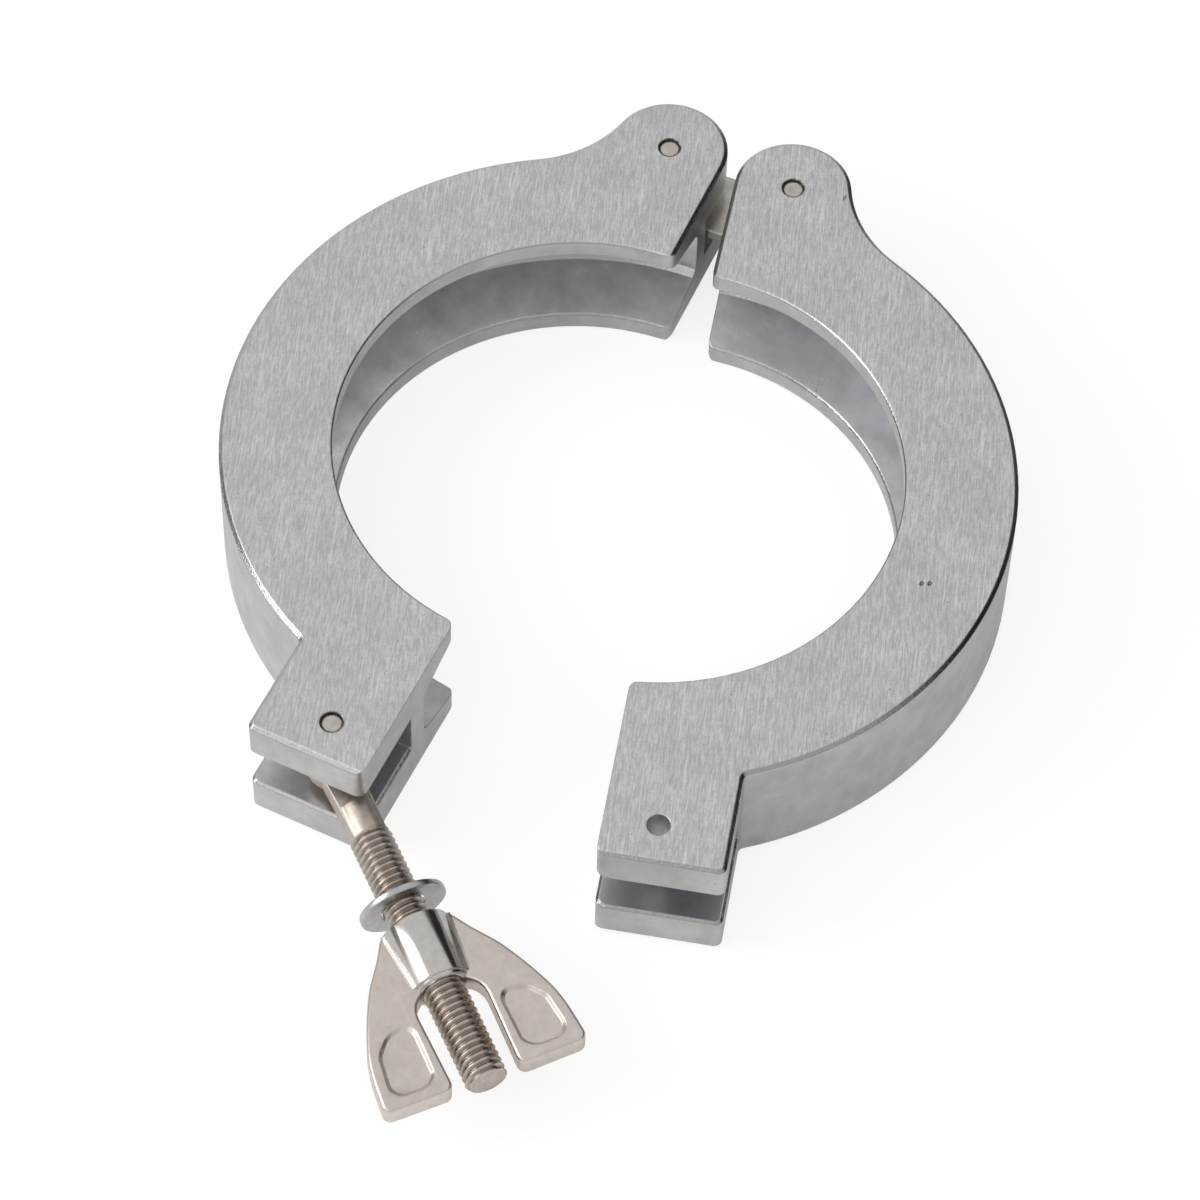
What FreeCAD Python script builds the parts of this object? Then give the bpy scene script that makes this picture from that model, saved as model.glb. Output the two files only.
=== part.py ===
import FreeCAD, Part
import math
import os

# All sizes are in millimetres. The frame is the left half's: Z is the ring's axis, z = 0 is
# mid-height, the hinge is at +Y and the bolt side at -Y. Each half is drawn as the right one,
# with x growing away from the parting plane, and the left one is its mirror image.

os.makedirs("parts", exist_ok=True)

# Ring section
ring_radius = 50.0
bore_radius = 34.33
height = 20.4
lip_thickness = 3.05
flank_angle = 15.0
ring_wall = 6.35
groove_corner = 0.9

# Hinge ear and its slot
parting_gap = 1.1
ear_radius = 8.4
hinge_rise = 2.25
ear_blend = 18.0
ear_web = 2.85
slot_height = 7.4

# Bolt lug
lug_gap = 3.35
lug_inset = 13.0
lug_tilt = 1.85
lug_width = 17.4
lug_length = 24.45
lug_web = 3.45
bolt_pin_inset = 8.05
bolt_pin_setback = 5.95
bore_corner = 1.6
tip_corner = 1.5
outer_corner = 1.1
root_corner = 1.0

# Broken edges of the castings
outer_edge = 0.6
bore_edge = 0.25
slot_edge = 0.4
lip_edge = 0.25

# Pins
pin_radius = 1.6
pin_recess = 0.35
pin_chamfer = 0.3
running_clearance = 0.05

# Link
link_thickness = 2.1
link_half_width = 5.15
link_edge = 0.25

# Swing bolt
eye_radius = 3.6
tongue_thickness = 3.4
tongue_half_width = 2.7
shank_half_width = 2.25
shank_radius = 2.66
shoulder_at = 7.9
thread_at = 13.0
bolt_length = 53.0
thread_radius = 2.95
thread_chamfer = 0.7

# Washer
washer_at = 23.8
washer_radius = 6.1
washer_clearance = 0.25
washer_thickness = 1.0
washer_edge = 0.2

# Wing nut
nut_gap = 3.5
hub_length = 9.9
hub_radius = 5.0
hub_end_radius = 4.15
hub_edge = 0.35
wing_thickness = 3.5
wing_edge = 0.45
wing_corner = 1.0
window_depth = 0.6
wing_outline = [
    (7.2, 9.5),
    (12.7, 12.1),
    (17.7, 13.7),
    (24.7, 14.5),
]
wing_gap = 4.6
wing_slope = 0.2
root_gap = 3.3
root_rise = 2.1
window_outline = [
    (14.2, 7.6),
    (14.7, 9.9),
    (16.6, 11.6),
    (21.6, 12.3),
    (22.8, 11.2),
    (22.9, 7.9),
    (21.5, 6.3),
    (15.4, 6.4),
]

# Pose of the photographed clamp, in degrees
link_angle = 2.3
half_angle = 12.5
bolt_angle = -42.06


def v(x, y, z=0.0):
    return FreeCAD.Vector(x, y, z)


up = v(0, 0, 1)
origin = v(0, 0, 0)
groove_radius = ring_radius - ring_wall
hinge_x = parting_gap + ear_radius
hinge_y = ring_radius + hinge_rise
link_length = 2 * hinge_x
bolt_pin_x = lug_gap + bolt_pin_inset
bolt_pin_y = lug_inset - ring_radius - lug_length + bolt_pin_setback
ear_slot_y = groove_radius + ear_web
lug_slot_y = -groove_radius - lug_web


def cylinder(radius, length, centre):
    return Part.makeCylinder(radius, length, centre - up * (length / 2), up)


def turned(shape, angle, centre=origin):
    result = shape.copy()
    result.rotate(centre, up, angle)
    return result


def on_circle(radius, angle, centre=origin):
    a = math.radians(angle)
    return centre + v(radius * math.cos(a), radius * math.sin(a))


def arc(centre, radius, start, end):
    middle = (start + end) / 2
    points = [on_circle(radius, a, centre) for a in (start, middle, end)]
    return Part.Arc(*points).toShape()


def angle_of(vector):
    return math.degrees(math.atan2(vector.y, vector.x))


def slab(wire, thickness):
    face = Part.Face(wire)
    solid = face.extrude(up * thickness)
    solid.translate(up * (-thickness / 2))
    return solid


def polygon(points):
    corners = [v(*p) for p in points]
    return Part.makePolygon(corners + corners[:1])


def blend_centre():
    """Centre of the hollow arc that joins the ear's circle to the ring."""
    ear = v(hinge_x, hinge_y)
    to_ear = ear_radius + ear_blend
    to_ring = ring_radius + ear_blend
    distance = ear.Length
    along = (to_ring**2 - to_ear**2 + distance**2) / (2 * distance)
    across = math.sqrt(to_ring**2 - along**2)
    direction = ear / distance
    return direction * along + v(direction.y, -direction.x) * across


def lug_point(across, along):
    """A point of the tilted lug: across from its mating face, along towards its tip."""
    tilt = math.radians(lug_tilt)
    start = v(lug_gap, lug_inset - ring_radius)
    side = v(math.cos(tilt), math.sin(tilt))
    outward = v(math.sin(tilt), -math.cos(tilt))
    return start + side * across + outward * along


def lug_across(point):
    """How far a point lies from the plane of the lug's mating face."""
    start = lug_point(0, 0)
    return (point - start).dot(lug_point(1, 0) - start)


def circle_crossing(across, radius):
    """Where the lug line at this distance from the mating face crosses a circle."""
    start = lug_point(across, 0)
    outward = lug_point(across, 1) - start
    b = start.dot(outward)
    c = start.dot(start) - radius**2
    return start + outward * (-b + math.sqrt(b * b - c))


def half_outline():
    ear = v(hinge_x, hinge_y)
    blend = blend_centre()
    ear_end = angle_of(blend - ear)
    blend_start = angle_of(ear - blend)
    blend_end = angle_of(origin - blend)
    ring_start = angle_of(blend)
    lug_root = circle_crossing(lug_width, ring_radius)
    lug_bore = circle_crossing(0, bore_radius)
    outer_tip = lug_point(lug_width, lug_length)
    inner_tip = lug_point(0, lug_length)
    hinge_bore = v(parting_gap, math.sqrt(bore_radius**2 - parting_gap**2))
    ear_side = v(parting_gap, hinge_y)
    blend_turn = (blend_end - blend_start + 360) % 360
    edges = [
        Part.makeLine(hinge_bore, ear_side),
        arc(ear, ear_radius, 180, ear_end),
        arc(blend, ear_blend, blend_start, blend_start + blend_turn),
        arc(origin, ring_radius, ring_start, angle_of(lug_root)),
        Part.makeLine(lug_root, outer_tip),
        Part.makeLine(outer_tip, inner_tip),
        Part.makeLine(inner_tip, lug_bore),
        arc(origin, bore_radius, angle_of(lug_bore), angle_of(hinge_bore)),
    ]
    outer_corners = [(lug_root, root_corner), (outer_tip, outer_corner)]
    inner_corners = [(hinge_bore, bore_corner), (lug_bore, bore_corner), (inner_tip, tip_corner)]
    return Part.Wire(edges), outer_corners, inner_corners


def edges_at(solid, point, tolerance=0.05):
    """The upright edges of a slab that pass through a plan point."""
    found = []
    for edge in solid.Edges:
        ends = [w.Point for w in edge.Vertexes]
        if len(ends) == 2 and all(math.hypot(e.x - point.x, e.y - point.y) < tolerance for e in ends):
            found.append(edge)
    return found


def middle_of(edge):
    return edge.valueAt((edge.FirstParameter + edge.LastParameter) / 2)


def lies_at(edge, level):
    """True for a level edge that far above or below mid-height."""
    return edge.BoundBox.ZLength < 1e-4 and abs(abs(edge.BoundBox.ZMin) - level) < 1e-4


def round_corners(solid, corners):
    for point, radius in corners:
        solid = solid.makeFillet(radius, edges_at(solid, point))
    return solid


def casting_blank():
    """The casting's slab, its outer rim chamfered before the corners of the inner side are rounded."""
    wire, outer_corners, inner_corners = half_outline()
    solid = round_corners(slab(wire, height), outer_corners)
    rim = []
    for edge in solid.Edges:
        middle = middle_of(edge)
        on_lug_face = abs(lug_across(middle)) < 0.01
        on_bore = abs(math.hypot(middle.x, middle.y) - bore_radius) < 0.01
        if lies_at(edge, height / 2) and not on_lug_face and not on_bore:
            rim.append(edge)
    solid = solid.makeChamfer(outer_edge, rim)
    return round_corners(solid, inner_corners)


def bore_side(side):
    """Half of the profile turned out of the ring: bore, broken edges, lip and sloping groove."""
    top = height / 2
    slope = math.tan(math.radians(flank_angle))
    lip = top - lip_thickness
    bottom = lip - (groove_radius - bore_radius) * slope
    axis = bore_radius - 3
    points = [
        (axis, 0),
        (axis, top),
        (bore_radius + bore_edge, top),
        (bore_radius, top - bore_edge),
        (bore_radius, lip + lip_edge),
        (bore_radius + lip_edge, lip - lip_edge * slope),
        (groove_radius - groove_corner, bottom + groove_corner * slope),
        (groove_radius, bottom - groove_corner),
        (groove_radius, 0),
    ]
    return [(x, side * z) for x, z in points]


def ring_cut():
    """The space inside both halves: the bore and the groove that takes the flange rims."""
    upper = bore_side(1)
    lower = bore_side(-1)
    corners = [v(x, 0, z) for x, z in upper[1:-1] + lower[-2:0:-1]]
    return Part.Face(Part.makePolygon(corners + corners[:1])).revolve(origin, up, 360)


def half_casting():
    solid = casting_blank()
    solid = solid.cut(ring_cut())
    far = 2 * ring_radius
    ear_slot = Part.makeBox(far, far, slot_height, v(0, ear_slot_y, -slot_height / 2))
    lug_slot = Part.makeBox(far, far, slot_height, v(-far / 2, lug_slot_y - far, -slot_height / 2))
    solid = solid.cut(ear_slot).cut(lug_slot)
    rims = []
    for edge in solid.Edges:
        middle = middle_of(edge)
        in_slot = middle.y > ear_slot_y + 0.1 or middle.y < lug_slot_y - 0.1
        if lies_at(edge, slot_height / 2) and in_slot:
            rims.append(edge)
    solid = solid.makeChamfer(slot_edge, rims)
    for centre in (v(hinge_x, hinge_y), v(bolt_pin_x, bolt_pin_y)):
        solid = solid.cut(cylinder(pin_radius, 2 * height, centre))
    return solid.removeSplitter()


def make_pin(centre):
    solid = cylinder(pin_radius, height - 2 * pin_recess, centre)
    rims = [e for e in solid.Edges if isinstance(e.Curve, Part.Circle)]
    return solid.makeChamfer(pin_chamfer, rims)


def make_link(start, end):
    direction = (end - start).normalize()
    side = v(-direction.y, direction.x) * link_half_width
    angle = angle_of(direction)
    edges = [
        Part.makeLine(start - side, end - side),
        arc(end, link_half_width, angle - 90, angle + 90),
        Part.makeLine(end + side, start + side),
        arc(start, link_half_width, angle + 90, angle + 270),
    ]
    solid = slab(Part.Wire(edges), link_thickness)
    flat = [e for e in solid.Edges if e.BoundBox.ZLength < 0.01]
    solid = solid.makeChamfer(link_edge, flat)
    for centre in (start, end):
        solid = solid.cut(cylinder(pin_radius + running_clearance, height, centre))
    return solid


def along_x(radius, start, end):
    return Part.makeCylinder(radius, end - start, v(start, 0), v(1, 0))


def make_bolt():
    """The swing bolt lying along +X, with its eye's centre at the origin."""
    outline = [
        (0, -tongue_half_width),
        (thread_at, -shank_half_width),
        (thread_at, shank_half_width),
        (0, tongue_half_width),
    ]
    tongue = slab(polygon(outline), tongue_thickness)
    eye = cylinder(eye_radius, tongue_thickness, origin)
    shank = along_x(shank_radius, shoulder_at, thread_at + 0.5)
    shank = shank.common(slab(polygon(outline), height))
    thread = along_x(thread_radius, thread_at, bolt_length)
    rims = [e for e in thread.Edges if isinstance(e.Curve, Part.Circle)]
    thread = thread.makeChamfer(thread_chamfer, rims)
    solid = tongue.fuse([eye, shank, thread])
    solid = solid.cut(cylinder(pin_radius + running_clearance, height, origin))
    return solid.removeSplitter()


def make_washer():
    solid = along_x(washer_radius, washer_at, washer_at + washer_thickness)
    rims = [e for e in solid.Edges if isinstance(e.Curve, Part.Circle)]
    solid = solid.makeChamfer(washer_edge, rims)
    return solid.cut(along_x(thread_radius + washer_clearance, 0, bolt_length))


def make_wing(side):
    """One wing, drawn beside the hub's start, with a sunk window in each face."""
    points = [(0.0, hub_radius)] + wing_outline
    outer = [v(x, side * y) for x, y in points]
    curve = Part.BSplineCurve()
    curve.interpolate(outer)
    end_inner = v(points[-1][0] + wing_slope, side * wing_gap)
    root = v(hub_length + root_rise, side * root_gap)
    inside = v(hub_length / 2, 0)
    edges = [
        curve.toShape(),
        Part.makeLine(outer[-1], end_inner),
        Part.makeLine(end_inner, root),
        Part.makeLine(root, inside),
        Part.makeLine(inside, origin),
        Part.makeLine(origin, outer[0]),
    ]
    solid = slab(Part.Wire(edges), wing_thickness)
    solid = round_corners(solid, [(outer[-1], wing_corner), (end_inner, wing_corner)])
    free = [e for e in solid.Edges if lies_at(e, wing_thickness / 2) and abs(middle_of(e).y) > root_gap]
    solid = solid.makeChamfer(wing_edge, free)
    window = [(x, side * y) for x, y in window_outline]
    for face in (1, -1):
        cutter = slab(polygon(window), window_depth)
        cutter.translate(up * (face * (wing_thickness - window_depth) / 2))
        solid = solid.cut(cutter)
    return solid


def make_nut():
    start = washer_at + washer_thickness + nut_gap
    hub = Part.makeCone(hub_radius, hub_end_radius, hub_length, origin, v(1, 0))
    rims = [e for e in hub.Edges if isinstance(e.Curve, Part.Circle)]
    hub = hub.makeChamfer(hub_edge, rims)
    solid = hub.fuse([make_wing(1), make_wing(-1)])
    solid = solid.cut(along_x(thread_radius + running_clearance, -1, bolt_length))
    solid.translate(v(start, 0))
    return solid.removeSplitter()


def mirrored(shape):
    return shape.mirror(origin, v(1, 0))


hinge_left = v(-hinge_x, hinge_y)
hinge_right = hinge_left + on_circle(link_length, link_angle)
bolt_centre = v(-bolt_pin_x, bolt_pin_y)
half = half_casting()
right = turned(half, half_angle)
hinge_pin_right = on_circle(v(hinge_x, hinge_y).Length, angle_of(v(hinge_x, hinge_y)) + half_angle)
right.translate(hinge_right - hinge_pin_right)

nodes = {
    "clamp_half_left": mirrored(half),
    "clamp_half_right": right,
    "hinge_link": make_link(hinge_left, hinge_right),
    "hinge_pin_left": make_pin(hinge_left),
    "hinge_pin_right": make_pin(hinge_right),
    "bolt_pin": make_pin(bolt_centre),
}
for name, shape in (
    ("swing_bolt", make_bolt()),
    ("flat_washer", make_washer()),
    ("wing_nut", make_nut()),
):
    shape = turned(shape, bolt_angle)
    shape.translate(bolt_centre)
    nodes[name] = shape

for name, shape in nodes.items():
    if not shape.isValid() or shape.Volume <= 0:
        raise RuntimeError(name + " is not a valid solid")
    solid = shape.Solids[0] if len(shape.Solids) == 1 else shape
    solid.exportStep("parts/" + name + ".step")
    box = solid.BoundBox
    print(name, "solids", len(shape.Solids), "volume", round(shape.Volume, 1), "box", box)
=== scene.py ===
import math

import bpy
from mathutils import Matrix, Vector


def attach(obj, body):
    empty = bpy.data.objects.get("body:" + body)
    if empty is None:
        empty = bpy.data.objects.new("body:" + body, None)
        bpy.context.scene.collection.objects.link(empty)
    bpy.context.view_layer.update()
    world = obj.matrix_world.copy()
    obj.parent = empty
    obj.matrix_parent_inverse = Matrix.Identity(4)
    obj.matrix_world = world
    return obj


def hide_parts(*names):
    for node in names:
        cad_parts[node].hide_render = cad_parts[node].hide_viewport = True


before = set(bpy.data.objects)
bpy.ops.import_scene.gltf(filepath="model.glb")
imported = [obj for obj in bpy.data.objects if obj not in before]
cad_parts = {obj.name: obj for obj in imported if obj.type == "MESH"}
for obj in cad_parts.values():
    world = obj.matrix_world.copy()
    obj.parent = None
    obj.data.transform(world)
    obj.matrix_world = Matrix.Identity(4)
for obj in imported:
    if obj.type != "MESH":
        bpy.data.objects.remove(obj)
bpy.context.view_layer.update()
mm = 0.001
sameSpot = 0.01 * mm
print("frame loaded:", len(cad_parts), "CAD nodes")


def selectOnly(*pieces):
    bpy.ops.object.select_all(action="DESELECT")
    for piece in pieces:
        piece.select_set(True)
    bpy.context.view_layer.objects.active = pieces[0]


def addPrimitive(operator, name, **sizes):
    bpy.ops.object.select_all(action="DESELECT")
    operator(**sizes)
    piece = bpy.context.active_object
    piece.name = name
    piece.data.name = name
    return piece


def applyPlace(piece):
    selectOnly(piece)
    bpy.ops.object.transform_apply(location=True, rotation=True, scale=True)


def applyModifier(piece, kind, **settings):
    modifier = piece.modifiers.new(kind.title(), kind)
    for key, value in settings.items():
        setattr(modifier, key, value)
    selectOnly(piece)
    bpy.ops.object.modifier_apply(modifier=modifier.name)


def cutWith(piece, cutter, operation="DIFFERENCE", solver="EXACT"):
    applyModifier(piece, "BOOLEAN", object=cutter, operation=operation, solver=solver)
    bpy.data.objects.remove(cutter)


def roundEdges(piece, width, segments=3, angle=35):
    applyModifier(piece, "BEVEL", width=width * mm, segments=segments, limit_method="ANGLE",
                  angle_limit=math.radians(angle), use_clamp_overlap=True, harden_normals=False)


def joinPieces(first, *others):
    selectOnly(first, *others)
    bpy.ops.object.join()
    return first


def shadeByAngle(piece, angle=32):
    selectOnly(piece)
    bpy.ops.object.shade_smooth_by_angle(angle=math.radians(angle))


def setMaterial(piece, material):
    piece.data.materials.clear()
    piece.data.materials.append(material)


def drawPath(name, points, closed=False):
    # one vertex at the first point, extruded from point to point
    piece = addPrimitive(bpy.ops.mesh.primitive_plane_add, name, size=1 * mm)
    bpy.ops.object.mode_set(mode="EDIT")
    bpy.ops.mesh.select_all(action="SELECT")
    bpy.ops.mesh.merge(type="CENTER")
    bpy.ops.transform.translate(value=Vector(points[0]) * mm)
    for before, after in zip(points, points[1:]):
        step = (Vector(after) - Vector(before)) * mm
        bpy.ops.mesh.extrude_region_move(TRANSFORM_OT_translate={"value": step})
    if closed:
        bpy.ops.mesh.select_all(action="SELECT")
        bpy.ops.mesh.edge_face_add()
    bpy.ops.object.mode_set(mode="OBJECT")
    return piece


def selectVerts(piece, wanted):
    # leaves edit mode open with the wanted vertices selected
    selectOnly(piece)
    bpy.ops.object.mode_set(mode="EDIT")
    bpy.ops.mesh.select_mode(type="VERT")
    bpy.ops.mesh.select_all(action="DESELECT")
    bpy.ops.object.mode_set(mode="OBJECT")
    for vertex in piece.data.vertices:
        vertex.select = wanted(vertex.co)
    bpy.ops.object.mode_set(mode="EDIT")


def roundCorners(piece, corners, radius, segments=5):
    spots = [Vector(corner) * mm for corner in corners]
    selectVerts(piece, lambda co: any((co - spot).length < sameSpot for spot in spots))
    bpy.ops.mesh.bevel(offset=radius * mm, segments=segments, affect="VERTICES")
    bpy.ops.object.mode_set(mode="OBJECT")


def extrudeAll(piece, step):
    selectOnly(piece)
    bpy.ops.object.mode_set(mode="EDIT")
    bpy.ops.mesh.select_all(action="SELECT")
    bpy.ops.mesh.extrude_region_move(TRANSFORM_OT_translate={"value": Vector(step) * mm})
    bpy.ops.mesh.select_all(action="SELECT")
    bpy.ops.mesh.normals_make_consistent(inside=False)
    bpy.ops.object.mode_set(mode="OBJECT")


def mergeDoubles(piece, distance=0.004):
    selectOnly(piece)
    bpy.ops.object.mode_set(mode="EDIT")
    bpy.ops.mesh.select_all(action="SELECT")
    bpy.ops.mesh.remove_doubles(threshold=distance * mm)
    bpy.ops.mesh.normals_make_consistent(inside=False)
    bpy.ops.object.mode_set(mode="OBJECT")


def addNode(tree, kind, place, settings=None, values=None):
    made = tree.nodes.new(kind)
    made.location = place
    for key, value in (settings or {}).items():
        setattr(made, key, value)
    for key, value in (values or {}).items():
        made.inputs[key].default_value = value
    return made


def feed(tree, socket, value):
    # a socket is wired, anything else is set on the input
    if isinstance(value, bpy.types.NodeSocket):
        tree.links.new(value, socket)
    else:
        socket.default_value = value


def newGroup(name, inputs, outputs):
    tree = bpy.data.node_groups.new(name, "ShaderNodeTree")
    for label, kind, value in inputs:
        socket = tree.interface.new_socket(name=label, in_out="INPUT", socket_type=kind)
        if value is not None:
            socket.default_value = value
    for label, kind in outputs:
        tree.interface.new_socket(name=label, in_out="OUTPUT", socket_type=kind)
    given = addNode(tree, "NodeGroupInput", (-1100, 0))
    out = addNode(tree, "NodeGroupOutput", (900, 0))
    return tree, given, out


def useGroup(tree, group, place, values):
    made = addNode(tree, "ShaderNodeGroup", place, {"node_tree": group})
    for key, value in values.items():
        feed(tree, made.inputs[key], value)
    return made


def newMaterial(name):
    material = bpy.data.materials.new(name)
    material.use_nodes = True
    tree = material.node_tree
    tree.nodes.clear()
    shader = addNode(tree, "ShaderNodeBsdfPrincipled", (900, 0))
    output = addNode(tree, "ShaderNodeOutputMaterial", (1200, 0))
    tree.links.new(shader.outputs["BSDF"], output.inputs["Surface"])
    return material, tree, shader


def math2(tree, operation, first, second, place, clamp=False):
    made = addNode(tree, "ShaderNodeMath", place, {"operation": operation, "use_clamp": clamp})
    feed(tree, made.inputs[0], first)
    feed(tree, made.inputs[1], second)
    return made.outputs[0]


def rampValue(tree, value, start, end, place, atStart=0.0, atEnd=1.0):
    made = addNode(tree, "ShaderNodeMapRange", place, None,
                   {"From Min": start, "From Max": end, "To Min": atStart, "To Max": atEnd})
    feed(tree, made.inputs["Value"], value)
    return made.outputs["Result"]


def rampLength(tree, value, span, place, origin=0.0, **levels):
    # the same over a span in mm, measured from an origin in mm
    return rampValue(tree, value, (origin + span[0]) * mm, (origin + span[1]) * mm, place, **levels)


def mixValue(tree, factor, low, high, place):
    made = addNode(tree, "ShaderNodeMix", place)
    feed(tree, made.inputs[0], factor)
    feed(tree, made.inputs[2], low)
    feed(tree, made.inputs[3], high)
    return made.outputs[0]


def mixColour(tree, factor, low, high, place):
    made = addNode(tree, "ShaderNodeMix", place, {"data_type": "RGBA"})
    feed(tree, made.inputs[0], factor)
    for socket, colour in ((made.inputs[6], low), (made.inputs[7], high)):
        feed(tree, socket, colour if isinstance(colour, bpy.types.NodeSocket) else (*colour, 1))
    return made.outputs[2]


def noise(tree, vector, scale, detail, roughness, place):
    made = addNode(tree, "ShaderNodeTexNoise", place, None, {"Detail": detail, "Roughness": roughness})
    feed(tree, made.inputs["Vector"], vector)
    feed(tree, made.inputs["Scale"], scale)
    return made.outputs["Fac"]


def stretch(tree, vector, across, along, place):
    # squeezes a pattern across X and draws it out along Y
    sizes = addNode(tree, "ShaderNodeCombineXYZ", (place[0] - 180, place[1]))
    feed(tree, sizes.inputs["X"], across)
    feed(tree, sizes.inputs["Y"], along)
    feed(tree, sizes.inputs["Z"], along)
    made = addNode(tree, "ShaderNodeVectorMath", place, {"operation": "MULTIPLY"})
    feed(tree, made.inputs[0], vector)
    feed(tree, made.inputs[1], sizes.outputs["Vector"])
    return made.outputs["Vector"]


def brushLinesGroup():
    # fine grinding lines along Y, sparse longer scratches and soft patches between them
    tree, given, out = newGroup(
        "brushLines",
        [("Vector", "NodeSocketVector", None), ("Across", "NodeSocketFloat", None),
         ("Along", "NodeSocketFloat", None)],
        [("Lines", "NodeSocketFloat"), ("Scratches", "NodeSocketFloat"), ("Patches", "NodeSocketFloat")],
    )
    fineVector = stretch(tree, given.outputs["Vector"], given.outputs["Across"], given.outputs["Along"],
                         (-700, 300))
    fine = noise(tree, fineVector, scale=1.0, detail=1.6, roughness=0.6, place=(-450, 300))
    lines = rampValue(tree, fine, start=0.36, end=0.64, place=(-200, 300))
    # drawn out again for the longer scratches
    longVector = addNode(tree, "ShaderNodeVectorMath", (-700, 0), {"operation": "MULTIPLY"},
                         {1: (0.8, 0.16, 0.16)})
    feed(tree, longVector.inputs[0], fineVector)
    longNoise = noise(tree, longVector.outputs["Vector"], scale=1.0, detail=1.0, roughness=0.5,
                      place=(-450, 0))
    scratches = rampValue(tree, longNoise, start=0.62, end=0.7, place=(-200, 0))
    patchNoise = noise(tree, given.outputs["Vector"], scale=150.0, detail=3.0, roughness=0.55,
                       place=(-450, -300))
    patches = rampValue(tree, patchNoise, start=0.38, end=0.66, place=(-200, -300))
    feed(tree, out.inputs["Lines"], lines)
    feed(tree, out.inputs["Scratches"], scratches)
    feed(tree, out.inputs["Patches"], patches)
    return tree


def castSkinGroup():
    # soft blotches, fine grain and small scattered pits
    tree, given, out = newGroup(
        "castSkin",
        [("Vector", "NodeSocketVector", None), ("Blotch Scale", "NodeSocketFloat", 220.0),
         ("Grain Scale", "NodeSocketFloat", 2600.0), ("Pit Scale", "NodeSocketFloat", 700.0)],
        [("Blotches", "NodeSocketFloat"), ("Grain", "NodeSocketFloat"), ("Pits", "NodeSocketFloat")],
    )
    vector = given.outputs["Vector"]
    blotch = noise(tree, vector, given.outputs["Blotch Scale"], detail=4.0, roughness=0.6,
                   place=(-700, 300))
    soft = rampValue(tree, blotch, start=0.3, end=0.7, place=(-400, 300))
    grain = noise(tree, vector, given.outputs["Grain Scale"], detail=3.0, roughness=0.65,
                  place=(-700, 0))
    cells = addNode(tree, "ShaderNodeTexVoronoi", (-700, -300))
    feed(tree, cells.inputs["Vector"], vector)
    feed(tree, cells.inputs["Scale"], given.outputs["Pit Scale"])
    near = rampValue(tree, cells.outputs["Distance"], start=0.05, end=0.16, place=(-400, -300),
                     atStart=1.0, atEnd=0.0)
    rare = rampValue(tree, blotch, start=0.55, end=0.62, place=(-400, -550))
    pits = math2(tree, "MULTIPLY", near, rare, (-150, -400))
    feed(tree, out.inputs["Blotches"], soft)
    feed(tree, out.inputs["Grain"], grain)
    feed(tree, out.inputs["Pits"], pits)
    return tree


edgeRadius = 0.28


def softEdgeGroup():
    # the normal rounded over nearby edges, and a mask of where it is
    tree, given, out = newGroup(
        "softEdge",
        [("Contrast", "NodeSocketFloat", 8.0)],
        [("Normal", "NodeSocketVector"), ("Edge", "NodeSocketFloat")],
    )
    rounded = addNode(tree, "ShaderNodeBevel", (-700, 100), {"samples": 8}, {"Radius": edgeRadius * mm})
    plain = addNode(tree, "ShaderNodeNewGeometry", (-700, -150))
    dot = addNode(tree, "ShaderNodeVectorMath", (-450, 0), {"operation": "DOT_PRODUCT"})
    feed(tree, dot.inputs[0], rounded.outputs["Normal"])
    feed(tree, dot.inputs[1], plain.outputs["Normal"])
    away = math2(tree, "SUBTRACT", 1.0, dot.outputs["Value"], (-200, 0))
    edge = math2(tree, "MULTIPLY", away, given.outputs["Contrast"], (50, 0), clamp=True)
    feed(tree, out.inputs["Normal"], rounded.outputs["Normal"])
    feed(tree, out.inputs["Edge"], edge)
    return tree


def dentGroup():
    # a small soft spot round one point
    tree, given, out = newGroup(
        "dent",
        [("Vector", "NodeSocketVector", None), ("Centre", "NodeSocketVector", None),
         ("Squeeze", "NodeSocketVector", None), ("Radius", "NodeSocketFloat", None),
         ("Core", "NodeSocketFloat", 0.5)],
        [("Mask", "NodeSocketFloat")],
    )
    away = addNode(tree, "ShaderNodeVectorMath", (-700, 0), {"operation": "SUBTRACT"})
    feed(tree, away.inputs[0], given.outputs["Vector"])
    feed(tree, away.inputs[1], given.outputs["Centre"])
    scaled = addNode(tree, "ShaderNodeVectorMath", (-500, 0), {"operation": "MULTIPLY"})
    feed(tree, scaled.inputs[0], away.outputs["Vector"])
    feed(tree, scaled.inputs[1], given.outputs["Squeeze"])
    far = addNode(tree, "ShaderNodeVectorMath", (-300, 0), {"operation": "LENGTH"})
    feed(tree, far.inputs[0], scaled.outputs["Vector"])
    share = math2(tree, "DIVIDE", far.outputs["Value"], given.outputs["Radius"], (-100, 0))
    mask = addNode(tree, "ShaderNodeMapRange", (100, 0), None,
                   {"From Max": 1.0, "To Min": 1.0, "To Max": 0.0})
    feed(tree, mask.inputs["Value"], share)
    feed(tree, mask.inputs["From Min"], given.outputs["Core"])
    feed(tree, out.inputs["Mask"], mask.outputs["Result"])
    return tree


brushLines = brushLinesGroup()
castSkin = castSkinGroup()
softEdge = softEdgeGroup()
dent = dentGroup()
print("shared surface effects made")

# where the bolt lies on the clamp, and the sizes that its shape shares with the painted shade in its
# thread's valleys and the painted shadow ring round its pin hole
boltLine = {
    "eyeX": -11.4,
    "eyeY": -55.5,
    "turn": -42.06,
    "threadStart": 13.0,
    "end": 53.0,
}

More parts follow.
